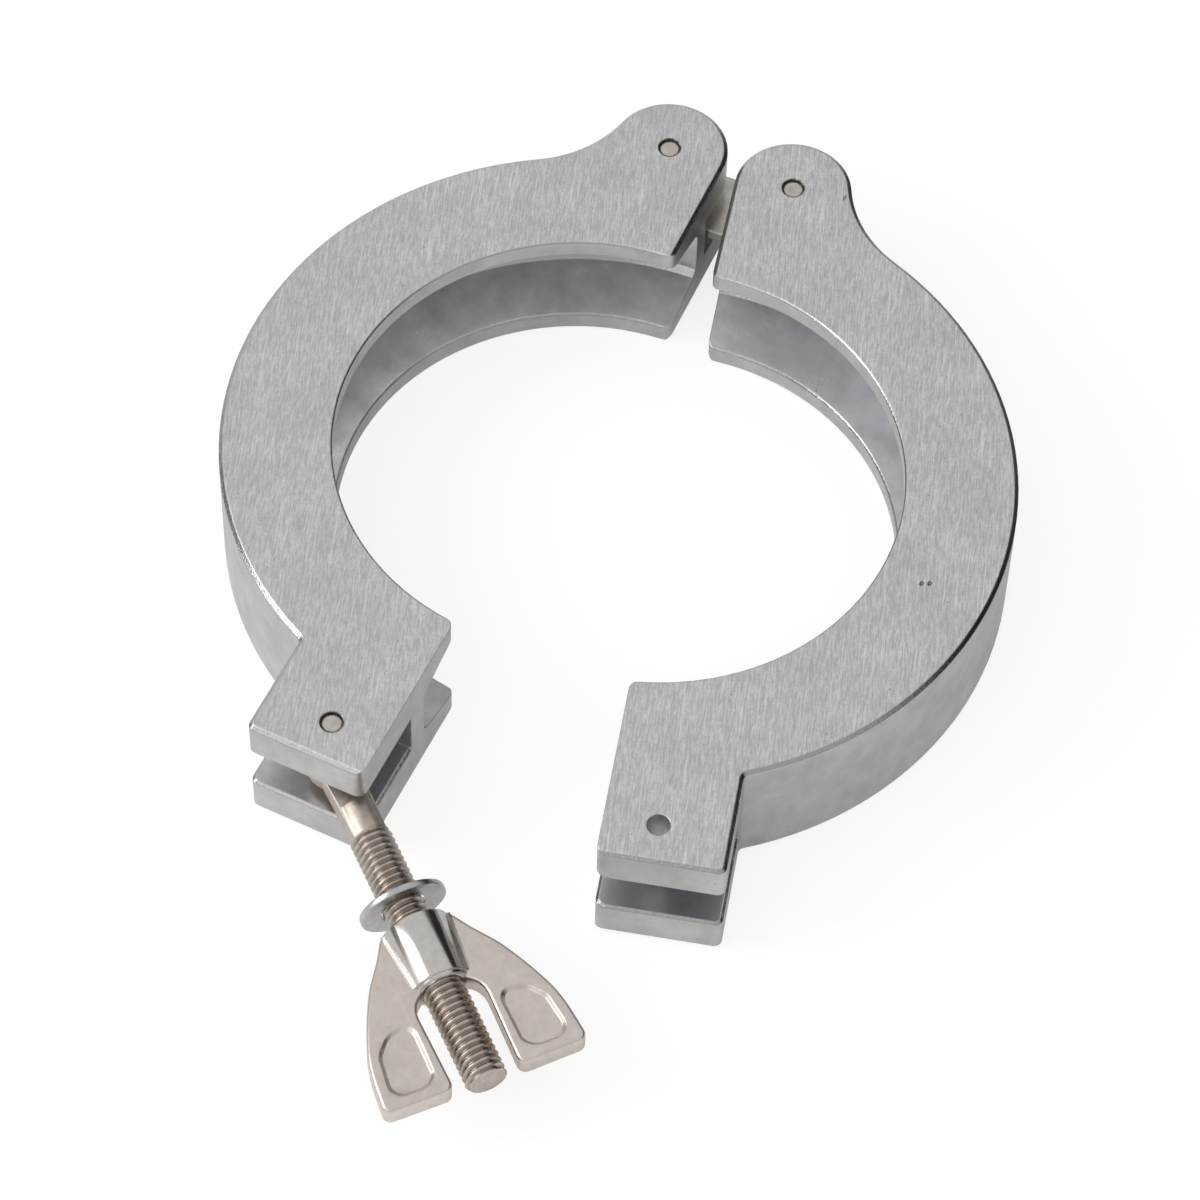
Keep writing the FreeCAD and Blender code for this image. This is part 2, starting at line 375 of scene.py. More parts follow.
castAluminium = {
    "faceLight": (0.83, 0.83, 0.83),
    "faceDark": (0.61, 0.61, 0.612),
    "speckTone": (0.49, 0.49, 0.495),
    "speckRange": (0.42, 0.62),
    "speckShare": 0.38,
    "patchTone": (0.45, 0.45, 0.46),
    "patchShare": 0.2,
    "scratchTone": (0.95, 0.95, 0.95),
    "scratchShare": 0.5,
    "wallLight": (0.67, 0.667, 0.665),
    "wallDark": (0.53, 0.527, 0.525),
    # painted light: a lighter copy of the wall colours for the groove's flanks, lifting the shade inside
    # the groove
    "flankLiftedLight": (0.76, 0.76, 0.78),
    "flankLiftedDark": (0.54, 0.54, 0.56),
    # painted shade: a darker copy of the metal for the broken edges
    "edgeShadeTone": (0.46, 0.46, 0.465),
    "pitColour": (0.16, 0.15, 0.15),
    "pitShare": 0.5,
    "markColour": (0.12, 0.12, 0.12),
    "markShare": 0.7,
    # painted shadow: dark rings round the pin holes, where the gaps round the pins lie in shade
    "pinGapShadowColour": (0.15, 0.125, 0.105),
    "gapShadowRadius": 1.84,
    "gapShadowCore": 0.87,
    # grain breaks up the painted shadow rings round the pin holes over this range, down to the least share
    # given next
    "gapShadowRange": (0.35, 0.6),
    "gapShadowLeast": 0.35,
    "holes": [(-9.5, 52.25), (9.4847, 53.0125), (boltLine["eyeX"], boltLine["eyeY"])],
    "faceRoughness": (0.36, 0.46),
    "wallRoughness": (0.33, 0.42),
    "flankRoughness": (0.26, 0.4),
    "edgeRoughness": 0.17,
    "brushAngle": 17.5,
    "brushAcross": 4900.0,
    "brushAlong": 520.0,
    "edgeGrain": 1900.0,
    # distance from the middle plane in mm at which the ground faces begin
    "groundRange": (10.02, 10.17),
    # upright share of the normal: broken edges lie round edgeUpright, flat insides above flatRange
    "edgeUpright": 0.66,
    "edgeSpread": (0.24, 0.29),
    "flatRange": (0.93, 0.955),
    "lineDepth": 0.006,
    "grainDepth": 0.004,
    "edgeDepth": 0.06,
    "dentDepth": 0.12,
    # place in mm, squeeze and radius of single marks
    "dents": [
        ((51.8, -1.82, 10.2), (1.6, 0.9, 1.0), 0.5),
        ((52.79, -1.37, 10.2), (1.6, 0.9, 1.0), 0.5),
        ((16.9, 54.57, 9.7), (1.5, 0.5, 0.5), 0.45),
    ],
}


def makeCastAluminium():
    s = castAluminium
    material, tree, shader = newMaterial("castAluminium")
    place = addNode(tree, "ShaderNodeTexCoord", (-1700, 0))
    spot = place.outputs["Object"]
    turned = addNode(tree, "ShaderNodeMapping", (-1500, 300), None,
                     {"Rotation": (0, 0, math.radians(-s["brushAngle"]))})
    feed(tree, turned.inputs["Vector"], spot)
    lines = useGroup(tree, brushLines, (-1250, 350),
                     {"Vector": turned.outputs["Vector"], "Across": s["brushAcross"],
                      "Along": s["brushAlong"]})
    skin = useGroup(tree, castSkin, (-1250, 50), {"Vector": spot})
    coarse = useGroup(tree, castSkin, (-1250, -250), {"Vector": spot, "Grain Scale": s["edgeGrain"]})
    edges = useGroup(tree, softEdge, (-1250, -550), {})
    normal = addNode(tree, "ShaderNodeSeparateXYZ", (-1500, -350))
    feed(tree, normal.inputs["Vector"], place.outputs["Normal"])
    where = addNode(tree, "ShaderNodeSeparateXYZ", (-1500, -150))
    feed(tree, where.inputs["Vector"], spot)
    upright = math2(tree, "ABSOLUTE", normal.outputs["Z"], 0.0, (-1300, -750))
    height = math2(tree, "ABSOLUTE", where.outputs["Z"], 0.0, (-1300, -900))
    # ground top and bottom, broken edges, and the sloping or flat insides
    ground = rampLength(tree, height, s["groundRange"], (-1000, -900))
    slope = math2(tree, "SUBTRACT", upright, s["edgeUpright"], (-1100, -750))
    offSlope = math2(tree, "ABSOLUTE", slope, 0.0, (-950, -750))
    broken = rampValue(tree, offSlope, *s["edgeSpread"], (-800, -750), atStart=1.0, atEnd=0.0)
    inside = rampValue(tree, upright, *s["flatRange"], (-1000, -1050))

    face = mixColour(tree, lines.outputs["Lines"], s["faceDark"], s["faceLight"], (-900, 500))
    specks = rampValue(tree, skin.outputs["Grain"], *s["speckRange"], (-1000, 650),
                       atEnd=s["speckShare"])
    face = mixColour(tree, specks, face, s["speckTone"], (-800, 650))
    patchy = math2(tree, "MULTIPLY", lines.outputs["Patches"], s["patchShare"], (-900, 300))
    face = mixColour(tree, patchy, face, s["patchTone"], (-700, 500))
    scratched = math2(tree, "MULTIPLY", lines.outputs["Scratches"], s["scratchShare"], (-900, 150))
    face = mixColour(tree, scratched, face, s["scratchTone"], (-500, 500))
    wall = mixColour(tree, skin.outputs["Blotches"], s["wallDark"], s["wallLight"], (-700, 250))
    # painted light: the groove's flanks get the lighter copy of the wall colours
    liftedFlank = mixColour(tree, skin.outputs["Blotches"], s["flankLiftedDark"], s["flankLiftedLight"], (-700, 50))
    colour = mixColour(tree, inside, wall, liftedFlank, (-450, 200))
    # painted shade: the broken edges get the darker copy, for the dark lines that the light leaves along
    # them
    colour = mixColour(tree, broken, colour, s["edgeShadeTone"], (-250, 200))
    colour = mixColour(tree, ground, colour, face, (-50, 300))
    pitTone = math2(tree, "MULTIPLY", skin.outputs["Pits"], s["pitShare"], (-250, 0))
    colour = mixColour(tree, pitTone, colour, s["pitColour"], (150, 300))

    smooth, coarseFace = s["faceRoughness"]
    faceRough = mixValue(tree, lines.outputs["Lines"], coarseFace, smooth, (-700, -200))
    smooth, coarseWall = s["wallRoughness"]
    wallRough = mixValue(tree, skin.outputs["Grain"], coarseWall, smooth, (-700, -350))
    smooth, coarseFlank = s["flankRoughness"]
    flankRough = mixValue(tree, skin.outputs["Blotches"], coarseFlank, smooth, (-700, -500))
    rough = mixValue(tree, inside, wallRough, flankRough, (-450, -300))
    rough = mixValue(tree, broken, rough, s["edgeRoughness"], (-250, -300))
    rough = mixValue(tree, ground, rough, faceRough, (-50, -300))
    feed(tree, shader.inputs["Roughness"], rough)
    shader.inputs["Metallic"].default_value = 1.0

    # heights in millimetres
    lineHeight = math2(tree, "MULTIPLY", lines.outputs["Lines"], s["lineDepth"], (-450, -600))
    lineHeight = math2(tree, "MULTIPLY", lineHeight, ground, (-250, -600))
    edgeHeight = math2(tree, "MULTIPLY", coarse.outputs["Grain"], s["edgeDepth"], (-450, -750))
    edgeHeight = math2(tree, "MULTIPLY", edgeHeight, broken, (-250, -750))
    grainHeight = math2(tree, "MULTIPLY", skin.outputs["Grain"], s["grainDepth"], (-450, -900))
    total = math2(tree, "ADD", lineHeight, edgeHeight, (-50, -650))
    total = math2(tree, "ADD", total, grainHeight, (100, -750))
    marks = 0.0
    for number, (centre, squeeze, radius) in enumerate(s["dents"]):
        one = useGroup(tree, dent, (-450, -1100 - 180 * number),
                       {"Vector": spot, "Centre": Vector(centre) * mm, "Squeeze": squeeze,
                        "Radius": radius * mm})
        marks = math2(tree, "MAXIMUM", one.outputs["Mask"], marks, (-200, -1100 - 180 * number))
    # painted shadow rings round the pin holes, for the shade in the gaps round the pins
    gapShadows = 0.0
    for number, (x, y) in enumerate(s["holes"]):
        one = useGroup(tree, dent, (-450, -1500 - 180 * number),
                       {"Vector": spot, "Centre": (x * mm, y * mm, 0), "Squeeze": (1, 1, 0),
                        "Radius": s["gapShadowRadius"] * mm, "Core": s["gapShadowCore"]})
        gapShadows = math2(tree, "MAXIMUM", one.outputs["Mask"], gapShadows, (-200, -1500 - 180 * number))
    uneven = rampValue(tree, coarse.outputs["Grain"], *s["gapShadowRange"], (-50, -1700),
                       atStart=s["gapShadowLeast"])
    gapShadows = math2(tree, "MULTIPLY", gapShadows, uneven, (100, -1600))
    colour = mixColour(tree, gapShadows, colour, s["pinGapShadowColour"], (250, 450))
    sunk = math2(tree, "MULTIPLY", marks, -s["dentDepth"], (50, -1100))
    total = math2(tree, "ADD", total, sunk, (250, -800))
    darkMark = math2(tree, "MULTIPLY", marks, s["markShare"], (50, -1250))
    colour = mixColour(tree, darkMark, colour, s["markColour"], (350, 300))
    feed(tree, shader.inputs["Base Color"], colour)
    bump = addNode(tree, "ShaderNodeBump", (450, -600), None, {"Strength": 1.0, "Distance": 1.0 * mm})
    feed(tree, bump.inputs["Height"], total)
    feed(tree, bump.inputs["Normal"], edges.outputs["Normal"])
    feed(tree, shader.inputs["Normal"], bump.outputs["Normal"])
    return material


# real pits, and the colours and ranges of the painted shade on rounded edges and in the thread's valleys
platedPitsAndShade = {
    "pitColour": (0.2, 0.16, 0.13),
    "pitShare": 0.45,
    "pitScale": 1300.0,
    # painted shade along rounded edges
    "rimColour": (0.09, 0.07, 0.06),
    "valleyShadeColour": (0.13, 0.085, 0.055),
    # distance from the bolt's line in mm over which the painted valley shade ends
    "valleyShadeRange": (2.47, 2.85),
    # along the bolt in mm, where the thread sets in round its start
    "threadedRange": (-0.1, 0.3),
    # and where the painted valley shade stops before the flat end
    "valleyShadeEndRange": (-0.6, -0.1),
}

# each finish also gives how much painted shade darkens its rounded edges, and the bolt how much darkens
# its thread's valleys
platedFinishes = {
    "platedBolt": {"light": (0.66, 0.60, 0.54), "dark": (0.52, 0.45, 0.385), "rough": (0.22, 0.34),
                   "blotch": 900.0, "grain": 3200.0, "depth": 0.006, "rim": 0.0, "valleyShade": 0.6,
                   "shankRough": 0.46},
    "platedHub": {"light": (0.72, 0.69, 0.665), "dark": (0.62, 0.59, 0.56), "rough": (0.11, 0.18),
                  "blotch": 700.0, "grain": 2600.0, "depth": 0.003, "rim": 0.2},
    "platedWing": {"light": (0.80, 0.73, 0.665), "dark": (0.70, 0.635, 0.575), "rough": (0.26, 0.36),
                   "blotch": 700.0, "grain": 3000.0, "depth": 0.004, "rim": 0.25},
    "platedWasher": {"light": (0.60, 0.60, 0.60), "dark": (0.49, 0.49, 0.495), "rough": (0.2, 0.3),
                     "blotch": 500.0, "grain": 2800.0, "depth": 0.004, "rim": 0.1},
    "linkSteel": {"light": (0.68, 0.645, 0.60), "dark": (0.50, 0.47, 0.43), "rough": (0.24, 0.36),
                  "blotch": 350.0, "grain": 2500.0, "depth": 0.005, "rim": 0.2},
    "pinSteel": {"light": (0.70, 0.66, 0.61), "dark": (0.52, 0.48, 0.44), "rough": (0.28, 0.4),
                 "blotch": 900.0, "grain": 4200.0, "depth": 0.012, "rim": 1.0},
}


def threadValleyShade(tree, spot):
    # the first is painted shade for the thread's valleys, 1 at the bottom of the thread and 0 on its
    # crests; the second is 0 on the shank
    line = addNode(tree, "ShaderNodeMapping", (-1000, 600), {"vector_type": "TEXTURE"},
                   {"Location": (boltLine["eyeX"] * mm, boltLine["eyeY"] * mm, 0),
                    "Rotation": (0, 0, math.radians(boltLine["turn"]))})
    feed(tree, line.inputs["Vector"], spot)
    across = addNode(tree, "ShaderNodeVectorMath", (-800, 700), {"operation": "MULTIPLY"}, {1: (0, 1, 1)})
    feed(tree, across.inputs[0], line.outputs["Vector"])
    radius = addNode(tree, "ShaderNodeVectorMath", (-600, 700), {"operation": "LENGTH"})
    feed(tree, radius.inputs[0], across.outputs["Vector"])
    shadeInValleys = rampLength(tree, radius.outputs["Value"], platedPitsAndShade["valleyShadeRange"], (-400, 700),
                      atStart=1.0, atEnd=0.0)
    along = addNode(tree, "ShaderNodeSeparateXYZ", (-800, 500))
    feed(tree, along.inputs["Vector"], line.outputs["Vector"])
    threaded = rampLength(tree, along.outputs["X"], platedPitsAndShade["threadedRange"], (-600, 500),
                          boltLine["threadStart"])
    beforeEnd = rampLength(tree, along.outputs["X"], platedPitsAndShade["valleyShadeEndRange"], (-600, 300),
                           boltLine["end"], atStart=1.0, atEnd=0.0)
    shadeInValleys = math2(tree, "MULTIPLY", shadeInValleys, beforeEnd, (-400, 500))
    return math2(tree, "MULTIPLY", shadeInValleys, threaded, (-200, 600)), threaded


def makePlated(name):
    s = platedFinishes[name]
    marks = platedPitsAndShade
    material, tree, shader = newMaterial(name)
    place = addNode(tree, "ShaderNodeTexCoord", (-1100, 0))
    skin = useGroup(tree, castSkin, (-850, 100),
                    {"Vector": place.outputs["Object"], "Blotch Scale": s["blotch"],
                     "Grain Scale": s["grain"], "Pit Scale": marks["pitScale"]})
    edges = useGroup(tree, softEdge, (-850, -250), {})
    colour = mixColour(tree, skin.outputs["Blotches"], s["dark"], s["light"], (-450, 250))
    pitTone = math2(tree, "MULTIPLY", skin.outputs["Pits"], marks["pitShare"], (-450, 50))
    colour = mixColour(tree, pitTone, colour, marks["pitColour"], (-200, 250))
    smooth, coarse = s["rough"]
    rough = mixValue(tree, skin.outputs["Blotches"], coarse, smooth, (-450, -100))
    if "valleyShade" in s:
        shadeInValleys, threaded = threadValleyShade(tree, place.outputs["Object"])
        # painted shade darkens the thread's valleys
        valleyShade = math2(tree, "MULTIPLY", shadeInValleys, s["valleyShade"], (0, 600))
        colour = mixColour(tree, valleyShade, colour, marks["valleyShadeColour"], (0, 400))
        rough = mixValue(tree, threaded, s["shankRough"], rough, (-200, -100))
    # painted shade darkens the rounded edges, fully on the pins, where it stands for the shadow in the gap
    # round them
    rim = math2(tree, "MULTIPLY", edges.outputs["Edge"], s["rim"], (-200, 0))
    colour = mixColour(tree, rim, colour, marks["rimColour"], (50, 250))
    feed(tree, shader.inputs["Base Color"], colour)
    feed(tree, shader.inputs["Roughness"], rough)
    shader.inputs["Metallic"].default_value = 1.0
    height = math2(tree, "MULTIPLY", skin.outputs["Grain"], s["depth"], (-450, -300))
    bump = addNode(tree, "ShaderNodeBump", (-100, -300), None, {"Strength": 1.0, "Distance": 1.0 * mm})
    feed(tree, bump.inputs["Height"], height)
    feed(tree, bump.inputs["Normal"], edges.outputs["Normal"])
    feed(tree, shader.inputs["Normal"], bump.outputs["Normal"])
    return material


halfMaterial = makeCastAluminium()
plated = {name: makePlated(name) for name in platedFinishes}
for nodeName, material in (
    ("clamp_half_left", halfMaterial),
    ("clamp_half_right", halfMaterial),
    ("hinge_link", plated["linkSteel"]),
    ("hinge_pin_left", plated["pinSteel"]),
    ("hinge_pin_right", plated["pinSteel"]),
    ("bolt_pin", plated["pinSteel"]),
):
    setMaterial(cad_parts[nodeName], material)
print("materials made")


def placeOnBolt(piece):
    # from the bolt's own line along X to where it lies on the clamp
    s = boltLine
    applyPlace(piece)
    piece.rotation_euler = (0, 0, math.radians(s["turn"]))
    piece.location = (s["eyeX"] * mm, s["eyeY"] * mm, 0)
    applyPlace(piece)


def cylinderAlongX(name, radius, start, end, sides=60):
    piece = addPrimitive(bpy.ops.mesh.primitive_cylinder_add, name, vertices=sides, radius=radius * mm,
                         depth=(end - start) * mm, location=((start + end) / 2 * mm, 0, 0),
                         rotation=(0, math.radians(90), 0))
    applyPlace(piece)
    return piece


def chamferEnd(piece, end, width, segments=3):
    selectVerts(piece, lambda co: abs(co.x - end * mm) < sameSpot)
    bpy.ops.mesh.bevel(offset=width * mm, segments=segments, affect="EDGES")
    bpy.ops.object.mode_set(mode="OBJECT")


swingBolt = {
    "eyeRadius": 3.6,
    "tongueThickness": 3.4,
    "tongueHalfWidth": 2.7,
    "shankHalfWidth": 2.25,
    "shankRadius": 2.66,
    "shoulder": 7.9,
    "threadStart": boltLine["threadStart"],
    "end": boltLine["end"],
    "threadMiddle": 2.69,
    "threadWave": 0.25,
    "pitch": 1.0,
    "runIn": 1.5,
    "spareTurns": 2,
    "stepsPerPitch": 8,
    "stepsPerTurn": 32,
    "endChamfer": 0.55,
    "pinHole": 1.65,
    "tongueEdge": 0.22,
    "shankEdge": 0.3,
    "intoThread": 0.4,
    # the block that leaves two flats on the shank
    "flatsMiddle": 10,
    "flatsLength": 16,
    "flatsHeight": 8,
    "flatsSpare": 0.2,
}


def makeThread():
    s = swingBolt
    start = s["threadStart"] - s["runIn"]
    turns = int(s["end"] - start) + s["spareTurns"]
    profile = []
    for step in range(s["stepsPerPitch"] + 1):
        share = step / s["stepsPerPitch"]
        radius = s["threadMiddle"] - s["threadWave"] * math.cos(2 * math.pi * share)
        profile.append((start + share * s["pitch"], 0, radius))
    thread = drawPath("thread", profile)
    applyModifier(thread, "SCREW", axis="X", angle=math.radians(360), screw_offset=s["pitch"] * mm,
                  iterations=turns, steps=s["stepsPerTurn"], render_steps=s["stepsPerTurn"],
                  use_merge_vertices=True, merge_threshold=0.002 * mm)
    selectOnly(thread)
    bpy.ops.object.mode_set(mode="EDIT")
    bpy.ops.mesh.select_all(action="SELECT")
    bpy.ops.mesh.remove_doubles(threshold=0.005 * mm)
    bpy.ops.mesh.fill_holes(sides=0)
    bpy.ops.mesh.select_all(action="SELECT")
    bpy.ops.mesh.normals_make_consistent(inside=False)
    bpy.ops.object.mode_set(mode="OBJECT")
    blank = cylinderAlongX("threadBlank", s["threadMiddle"] + s["threadWave"], s["threadStart"], s["end"])
    chamferEnd(blank, s["end"], s["endChamfer"])
    cutWith(thread, blank, "INTERSECT")
    return thread


def makeTongue():
    s = swingBolt
    half = s["threadStart"] / 2
    tongue = addPrimitive(bpy.ops.mesh.primitive_cube_add, "tongue", size=1, location=(half * mm, 0, 0),
                          scale=(2 * half * mm, 2 * s["tongueHalfWidth"] * mm, s["tongueThickness"] * mm))
    applyPlace(tongue)
    selectVerts(tongue, lambda co: co.x > half * mm)
    bpy.ops.transform.resize(value=(1, s["shankHalfWidth"] / s["tongueHalfWidth"], 1))
    bpy.ops.object.mode_set(mode="OBJECT")
    eye = addPrimitive(bpy.ops.mesh.primitive_cylinder_add, "eye", vertices=56, radius=s["eyeRadius"] * mm,
                       depth=s["tongueThickness"] * mm)
    cutWith(tongue, eye, "UNION")
    hole = addPrimitive(bpy.ops.mesh.primitive_cylinder_add, "pinHole", vertices=40,
                        radius=s["pinHole"] * mm, depth=2 * s["tongueThickness"] * mm)
    cutWith(tongue, hole)
    roundEdges(tongue, s["tongueEdge"], segments=2)
    return tongue


def makeShank():
    s = swingBolt
    shank = cylinderAlongX("shank", s["shankRadius"], s["shoulder"], s["threadStart"] + s["intoThread"])
    width = 2 * (s["shankHalfWidth"] + s["flatsSpare"])
    flats = addPrimitive(bpy.ops.mesh.primitive_cube_add, "flats", size=1,
                         location=(s["flatsMiddle"] * mm, 0, 0),
                         scale=(s["flatsLength"] * mm, width * mm, s["flatsHeight"] * mm))
    applyPlace(flats)
    cutWith(shank, flats, "INTERSECT")
    roundEdges(shank, s["shankEdge"])
    return shank


def makeSwingBolt():
    bolt = joinPieces(makeTongue(), makeShank(), makeThread())
    bolt.name = "swingBoltThreaded"
    placeOnBolt(bolt)
    shadeByAngle(bolt, angle=30)
    setMaterial(bolt, plated["platedBolt"])
    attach(bolt, "bolt")
    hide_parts("swing_bolt")
    print("swing bolt:", len(bolt.data.polygons), "faces")


makeSwingBolt()

flatWasher = {
    "middle": 24.3,
    "radius": 6.1,
    "hole": 3.22,
    "cutReach": 2,
    "thickness": 0.95,
    "edge": 0.18,
    "lean": 6.4,
}


def makeFlatWasher():
    # a stamped washer that hangs a little askew on the thread
    s = flatWasher
    half = s["thickness"] / 2
    washer = cylinderAlongX("flatWasherStamped", s["radius"], -half, half, sides=96)
    cutWith(washer, cylinderAlongX("washerHole", s["hole"], -s["cutReach"], s["cutReach"], sides=72))
    roundEdges(washer, s["edge"], angle=50)
    washer.rotation_euler = (0, math.radians(s["lean"]), 0)
    applyPlace(washer)
    washer.location = (s["middle"] * mm, 0, 0)
    placeOnBolt(washer)
    shadeByAngle(washer, angle=35)
    setMaterial(washer, plated["platedWasher"])
    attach(washer, "washer")
    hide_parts("flat_washer")
    print("washer:", len(washer.data.polygons), "faces")


makeFlatWasher()

wingNut = {
    "start": 28.3,
    "hubProfile": [
        (0.0, 3.02), (0.0, 4.55), (0.12, 4.78), (0.35, 4.86), (9.2, 4.2), (9.32, 4.1), (9.36, 3.92),
        (9.62, 3.84), (9.82, 3.62), (9.9, 3.3), (9.9, 3.02),
    ],
    "hubSides": 96,
    "thickness": 3.5,
    "edge": 0.5,
    "windowDepth": 0.6,
    "windowSpare": 0.05,
    "outer": [(0.25, 5.0), (3.4, 6.9), (7.2, 9.5), (12.7, 12.1), (17.7, 13.7), (24.6, 14.45)],
    "outerSteps": 5,
    "innerEnd": (24.75, 4.6),
    "root": [(13.3, 4.9), (12.3, 4.78), (11.4, 4.4), (10.7, 3.85), (10.2, 3.2)],
    "insideHub": [(9.3, 2.3), (0.25, 2.2)],
    "tipRadius": 1.3,
    "window": [
        (13.9, 7.4), (14.5, 9.8), (16.6, 11.6), (21.3, 12.2),
        (22.7, 11.2), (22.7, 7.9), (21.5, 6.5), (15.0, 6.4),
    ],
    "windowRadius": 0.7,
    "windowEdge": 0.16,
    "windowFlare": (1.13, 1.17),
    "flatAngle": 0.5,
    "filletRadius": 0.65,
    "filletStart": 0.3,
    "filletLength": 8.9,
    "filletSteps": 6,
    # how far the fillet's corner lies inside the hub and the wing
    "filletBury": (1.6, 0.7),
}


def smoothThrough(points, steps):
    # an even curve through the points, drawn straight on at both ends
    ends = [tuple(2 * a - b for a, b in zip(points[0], points[1]))]
    ends += list(points)
    ends.append(tuple(2 * a - b for a, b in zip(points[-1], points[-2])))
    curve = []
    for before, start, end, after in zip(ends, ends[1:], ends[2:], ends[3:]):
        for step in range(steps):
            t = step / steps
            curve.append(tuple(
                0.5 * (2 * p + (r - o) * t + (2 * o - 5 * p + 4 * r - q) * t ** 2
                       + (3 * p - o - 3 * r + q) * t ** 3)
                for o, p, r, q in zip(before, start, end, after)))
    return curve + [points[-1]]


def makeWing():
    s = wingNut
    half = s["thickness"] / 2
    outer = smoothThrough(s["outer"], s["outerSteps"])
    outline = [(x, y, -half) for x, y in outer + [s["innerEnd"]] + s["root"] + s["insideHub"]]
    wing = drawPath("wing", outline, closed=True)
    roundCorners(wing, [outline[len(outer) - 1], outline[len(outer)]], s["tipRadius"])
    extrudeAll(wing, (0, 0, s["thickness"]))
    roundEdges(wing, s["edge"], segments=4, angle=28)
    for face in (1, -1):
        floor = face * (half - s["windowDepth"])
        rise = face * (s["windowDepth"] + s["windowSpare"])
        window = [(x, y, floor) for x, y in s["window"]]
        cutter = drawPath("windowCutter", window, closed=True)
        roundCorners(cutter, window, s["windowRadius"], segments=4)
        extrudeAll(cutter, (0, 0, rise))
        # the sides of the hollow slope outwards
        selectVerts(cutter, lambda co: abs(co.z - (floor + rise) * mm) < sameSpot)
        bpy.ops.transform.resize(value=(*s["windowFlare"], 1))
        bpy.ops.object.mode_set(mode="OBJECT")
        cutWith(wing, cutter, solver="MANIFOLD")
    selectOnly(wing)
    bpy.ops.object.mode_set(mode="EDIT")
    bpy.ops.mesh.select_all(action="SELECT")
    bpy.ops.mesh.dissolve_limited(angle_limit=math.radians(s["flatAngle"]))
    bpy.ops.object.mode_set(mode="OBJECT")
    roundEdges(wing, s["windowEdge"], angle=36)
    return wing


def makeRootFillet():
    # the hollow rounding between the hub's cone and a wing's flat face
    s = wingNut
    startRadius, endRadius = s["hubProfile"][3][1], s["hubProfile"][4][1]
    rise = s["thickness"] / 2 + s["filletRadius"]

    def centreAcross(radius):
        return math.sqrt((radius + s["filletRadius"]) ** 2 - rise ** 2)

    across = centreAcross(startRadius)
    first = math.atan2(-rise, -across)
    section = []
    for step in range(s["filletSteps"] + 1):
        angle = first + (-math.pi / 2 - first) * step / s["filletSteps"]
        y = across + s["filletRadius"] * math.cos(angle)
        z = rise + s["filletRadius"] * math.sin(angle)
        section.append((s["filletStart"], y, z))
    intoHub, intoWing = s["filletBury"]
    section.append((s["filletStart"], across - intoHub, s["thickness"] / 2 - intoWing))
    fillet = drawPath("rootFillet", section, closed=True)
    extrudeAll(fillet, (s["filletLength"], centreAcross(endRadius) - across, 0))
    return fillet


def copyMirrored(piece, scale):
    twin = piece.copy()
    twin.data = piece.data.copy()
    bpy.context.scene.collection.objects.link(twin)
    twin.scale = scale
    applyPlace(twin)
    mergeDoubles(twin)
    return twin


def makeHub():
    s = wingNut
    profile = [(x, 0, r) for x, r in s["hubProfile"]]
    hub = drawPath("hub", profile + [profile[0]])
    mergeDoubles(hub)
    selectOnly(hub)
    bpy.ops.object.mode_set(mode="EDIT")
    bpy.ops.mesh.select_all(action="SELECT")
    bpy.ops.mesh.spin(steps=s["hubSides"], angle=math.radians(360), center=(0, 0, 0), axis=(1, 0, 0))
    bpy.ops.object.mode_set(mode="OBJECT")
    mergeDoubles(hub)
    return hub


def makeWingNut():
    s = wingNut
    hub = makeHub()
    setMaterial(hub, plated["platedHub"])
    wing = makeWing()
    fillet = makeRootFillet()
    parts = [wing, copyMirrored(wing, (1, -1, 1)), fillet]
    parts += [copyMirrored(fillet, scale) for scale in ((1, -1, 1), (1, 1, -1), (1, -1, -1))]
    for part in parts:
        setMaterial(part, plated["platedWing"])
    nut = joinPieces(hub, *parts)
    nut.name = "wingNutCast"
    nut.location = (s["start"] * mm, 0, 0)
    placeOnBolt(nut)
    shadeByAngle(nut)
    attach(nut, "nut")
    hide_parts("wing_nut")
    print("wing nut:", len(nut.data.polygons), "faces")


makeWingNut()

studio = {
    "floorHeight": -10.2,
    "floorDrop": 0.1,
    "floorSize": 2.4,
    "floorTone": 0.86,
    "seenTone": 0.3,
    "seenGlow": 0.8,
    "mirrorGlow": 0.12,
    "skyTop": 0.88,
    "skyHorizon": 0.66,
    "skyRise": (0.0, 0.8),
    # each light or dark part of the room: strength, the way to it, and where it starts and is full
    "leftGlow": 0.9,
    "leftGlowWay": (-0.80, -0.49, 0.32),
    "leftGlowRange": (0.93, 0.98),
    "frontGlow": 0.9,
    "frontGlowWay": (-0.21, -0.84, 0.50),
    "frontGlowRange": (0.95, 0.985),
    "leftShade": 0.75,
    "leftShadeWay": (-0.99, 0.08, 0.06),
    "leftShadeRange": (0.88, 0.96),
    "darkSide": 0.03,
    "darkWay": (0.6, 0.8, 0.0),
    "darkRange": (0.4, 0.75),
    "ceilingRange": (0.52, 0.6),
    # the same on the floor, with distances in metres
    "darkFloor": 0.12,
    "darkFloorRange": (0.075, 0.105),
    "leftFloor": 0.17,
    "leftFloorWay": (-0.92, -0.39, 0.0),
    "leftFloorRange": (0.046, 0.058),
    "keyPower": 3.0,
    "keySize": 0.5,
    "keyPlace": (-0.70, -0.36, 0.5),
}


